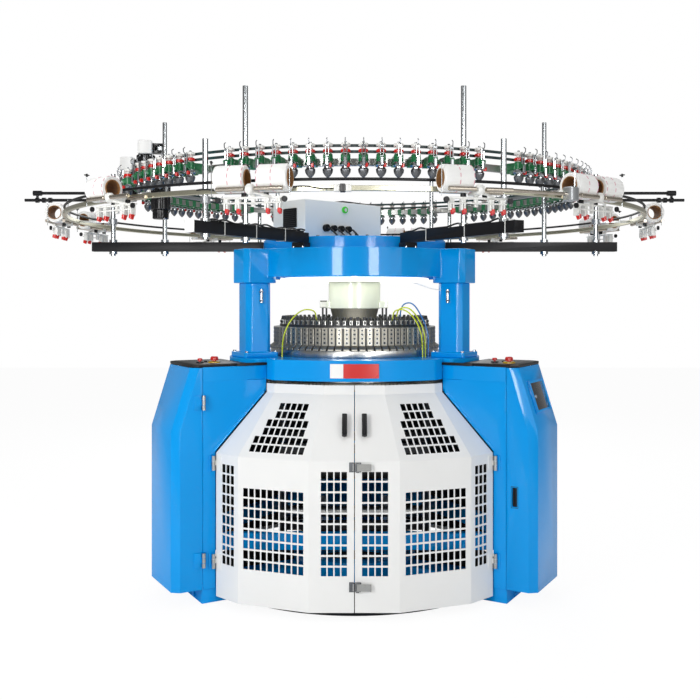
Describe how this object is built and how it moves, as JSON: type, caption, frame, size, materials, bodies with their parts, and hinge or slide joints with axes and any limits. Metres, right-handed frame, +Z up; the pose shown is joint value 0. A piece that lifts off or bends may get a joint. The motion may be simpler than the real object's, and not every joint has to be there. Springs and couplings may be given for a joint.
{
  "type": "circular knitting machine",
  "caption": "Large circular knitting machine: three legs, folded grille doors, knitting head, and a crown of yarn feeders, elastane rollers and poles.",
  "frame": {"origin": "on the floor, on the machine's vertical axis", "axes": "+Z up, front doors face -Y, outriggers along X"},
  "size_m": [3.58, 3.217, 2.41],
  "materials": {
    "blue_enamel": "gloss enamel",
    "white_powder": "satin powder coat",
    "black_powder": "satin powder coat",
    "grey_powder": "satin powder coat",
    "ground_steel": "ground",
    "cam_steel": "machined",
    "chrome": "polished",
    "dark_steel": "blackened",
    "motor_aluminium": "cast",
    "lamp_diffuser": "frosted",
    "housing_enamel": "satin",
    "red_plastic": "moulded",
    "green_plastic": "moulded",
    "white_plastic": "moulded",
    "black_rubber": "ribbed",
    "teal_belt": "woven",
    "elastane_yarn": "wound",
    "card_tube": "board",
    "clear_cover": "clear",
    "yellow_hose": "extruded"
  },
  "bodies": {
    "frame": {"base_frame": "blue_enamel", "levelling_feet": "dark_steel", "leg_front_left": "blue_enamel", "leg_front_right": "blue_enamel", "leg_rear": "blue_enamel", "column_front_left": "blue_enamel", "column_front_right": "blue_enamel", "column_rear": "blue_enamel", "bed_plate": "blue_enamel", "top_ring": "blue_enamel", "ring_lamp": "lamp_diffuser", "cabinet_top_left": "black_powder", "cabinet_top_right": "black_powder", "rear_guards": "white_powder", "hinge_pins": "ground_steel", "cam_ring_base": "ground_steel", "cam_boxes": "cam_steel", "dial_cam_plate": "dark_steel", "dial_housing": "housing_enamel", "main_bearing": "ground_steel", "drive_belt": "black_rubber", "main_motor": "motor_aluminium", "switch_panel": "grey_powder", "crown_beams": "black_powder", "poles": "chrome", "feeder_rail": "ground_steel", "feeder_bodies": "green_plastic", "feeder_wheels": "red_plastic", "feeder_spools": "chrome", "feeder_belts": "teal_belt", "elastane_rings": "dark_steel", "elastane_brackets": "white_plastic", "elastane_rollers": "ground_steel", "elastane_packages": "elastane_yarn", "elastane_cores": "card_tube", "yarn_sensors": "white_plastic", "outriggers": "black_powder", "belt_motors": "black_powder", "control_box": "grey_powder", "oil_lines": "yellow_hose"},
    "cylinder": {"needle_cylinder": "ground_steel", "ring_gear": "cam_steel", "takedown_frame": "dark_steel"},
    "dial": {"dial": "ground_steel"},
    "drive_shaft": {"drive_shaft": "cam_steel"},
    "motor_pulley": {"motor_pulley": "cam_steel"},
    "draw_roller_front": {"draw_roller_front": "black_rubber"},
    "draw_roller_rear": {"draw_roller_rear": "black_rubber"},
    "cloth_bar": {"cloth_bar": "ground_steel"},
    "front_door_right": {"front_door_right": "white_powder"},
    "front_door_left": {"front_door_left": "white_powder"},
    "latch_lever_upper": {"latch_lever_upper": "chrome"},
    "latch_lever_lower": {"latch_lever_lower": "chrome"},
    "cabinet_cover_left": {"cabinet_cover_left": "blue_enamel"},
    "cabinet_cover_right": {"cabinet_cover_right": "blue_enamel"},
    "window_cover": {"window_cover": "clear_cover"},
    "stop_button_left": {"stop_button_left": "red_plastic"},
    "stop_button_right": {"stop_button_right": "red_plastic"},
    "start_button_left": {"start_button_left": "red_plastic"},
    "start_button_right": {"start_button_right": "red_plastic"}
  },
  "joints": [
    {"name": "cylinder_spin", "type": "hinge", "parent": "frame", "child": "cylinder", "pos_m": [0, 0, 1.1], "axis": [0, 0, 1], "continuous": true},
    {"name": "dial_spin", "type": "hinge", "parent": "frame", "child": "dial", "pos_m": [0, 0, 1.36], "axis": [0, 0, 1], "continuous": true},
    {"name": "drive_shaft_spin", "type": "hinge", "parent": "frame", "child": "drive_shaft", "pos_m": [-0.44678, -0.25795, 1.05], "axis": [0, 0, 1], "continuous": true},
    {"name": "motor_pulley_spin", "type": "hinge", "parent": "frame", "child": "motor_pulley", "pos_m": [-0.82965, -0.479, 0.95], "axis": [0, 0, 1], "continuous": true},
    {"name": "draw_roller_front_spin", "type": "hinge", "parent": "cylinder", "child": "draw_roller_front", "pos_m": [0, -0.037, 0.52], "axis": [1, 0, 0], "continuous": true},
    {"name": "draw_roller_rear_spin", "type": "hinge", "parent": "cylinder", "child": "draw_roller_rear", "pos_m": [0, 0.037, 0.52], "axis": [1, 0, 0], "continuous": true},
    {"name": "cloth_bar_spin", "type": "hinge", "parent": "cylinder", "child": "cloth_bar", "pos_m": [0, 0, 0.3], "axis": [1, 0, 0], "continuous": true},
    {"name": "front_door_right_hinge", "type": "hinge", "parent": "frame", "child": "front_door_right", "pos_m": [0.67127, -0.60533, 0.44], "axis": [0, 0, 1], "range_deg": [0, 95]},
    {"name": "front_door_left_hinge", "type": "hinge", "parent": "frame", "child": "front_door_left", "pos_m": [-0.67127, -0.60533, 0.44], "axis": [0, 0, -1], "range_deg": [0, 95]},
    {"name": "latch_lever_upper_pivot", "type": "hinge", "parent": "front_door_right", "child": "latch_lever_upper", "pos_m": [0.014, -0.835, 0.693], "axis": [0, 0, -1], "range_deg": [0, 95]},
    {"name": "latch_lever_lower_pivot", "type": "hinge", "parent": "front_door_right", "child": "latch_lever_lower", "pos_m": [0.014, -0.835, 0.152], "axis": [0, 0, -1], "range_deg": [0, 95]},
    {"name": "cabinet_cover_left_hinge", "type": "hinge", "parent": "frame", "child": "cabinet_cover_left", "pos_m": [-0.7137, -0.62983, 0.6], "axis": [0, 0, -1], "range_deg": [-95, 0]},
    {"name": "cabinet_cover_right_hinge", "type": "hinge", "parent": "frame", "child": "cabinet_cover_right", "pos_m": [0.9023, -0.30317, 0.6], "axis": [0, 0, -1], "range_deg": [-95, 0]},
    {"name": "window_cover_hinge", "type": "hinge", "parent": "cabinet_cover_right", "child": "window_cover", "pos_m": [0.95116, -0.43715, 0.98674], "axis": [-0.263, 0.1519, 0.9528], "range_deg": [0, 110]},
    {"name": "stop_button_left_push", "type": "slide", "parent": "frame", "child": "stop_button_left", "axis": [0, 0, -1], "range_m": [0, 0.005], "stiffness_N_per_m": 2500},
    {"name": "stop_button_right_push", "type": "slide", "parent": "frame", "child": "stop_button_right", "axis": [0, 0, -1], "range_m": [0, 0.005], "stiffness_N_per_m": 2500},
    {"name": "start_button_left_push", "type": "slide", "parent": "frame", "child": "start_button_left", "axis": [0, 0, -1], "range_m": [0, 0.005], "stiffness_N_per_m": 2500},
    {"name": "start_button_right_push", "type": "slide", "parent": "frame", "child": "start_button_right", "axis": [0, 0, -1], "range_m": [0, 0.005], "stiffness_N_per_m": 2500}
  ],
  "couplings": [
    {"joint": "dial_spin", "follows": "cylinder_spin", "ratio": 1},
    {"joint": "drive_shaft_spin", "follows": "cylinder_spin", "ratio": -10},
    {"joint": "motor_pulley_spin", "follows": "cylinder_spin", "ratio": -13.333},
    {"joint": "draw_roller_front_spin", "follows": "cylinder_spin", "ratio": 0.5},
    {"joint": "draw_roller_rear_spin", "follows": "cylinder_spin", "ratio": -0.5},
    {"joint": "cloth_bar_spin", "follows": "cylinder_spin", "ratio": 0.6}
  ]
}
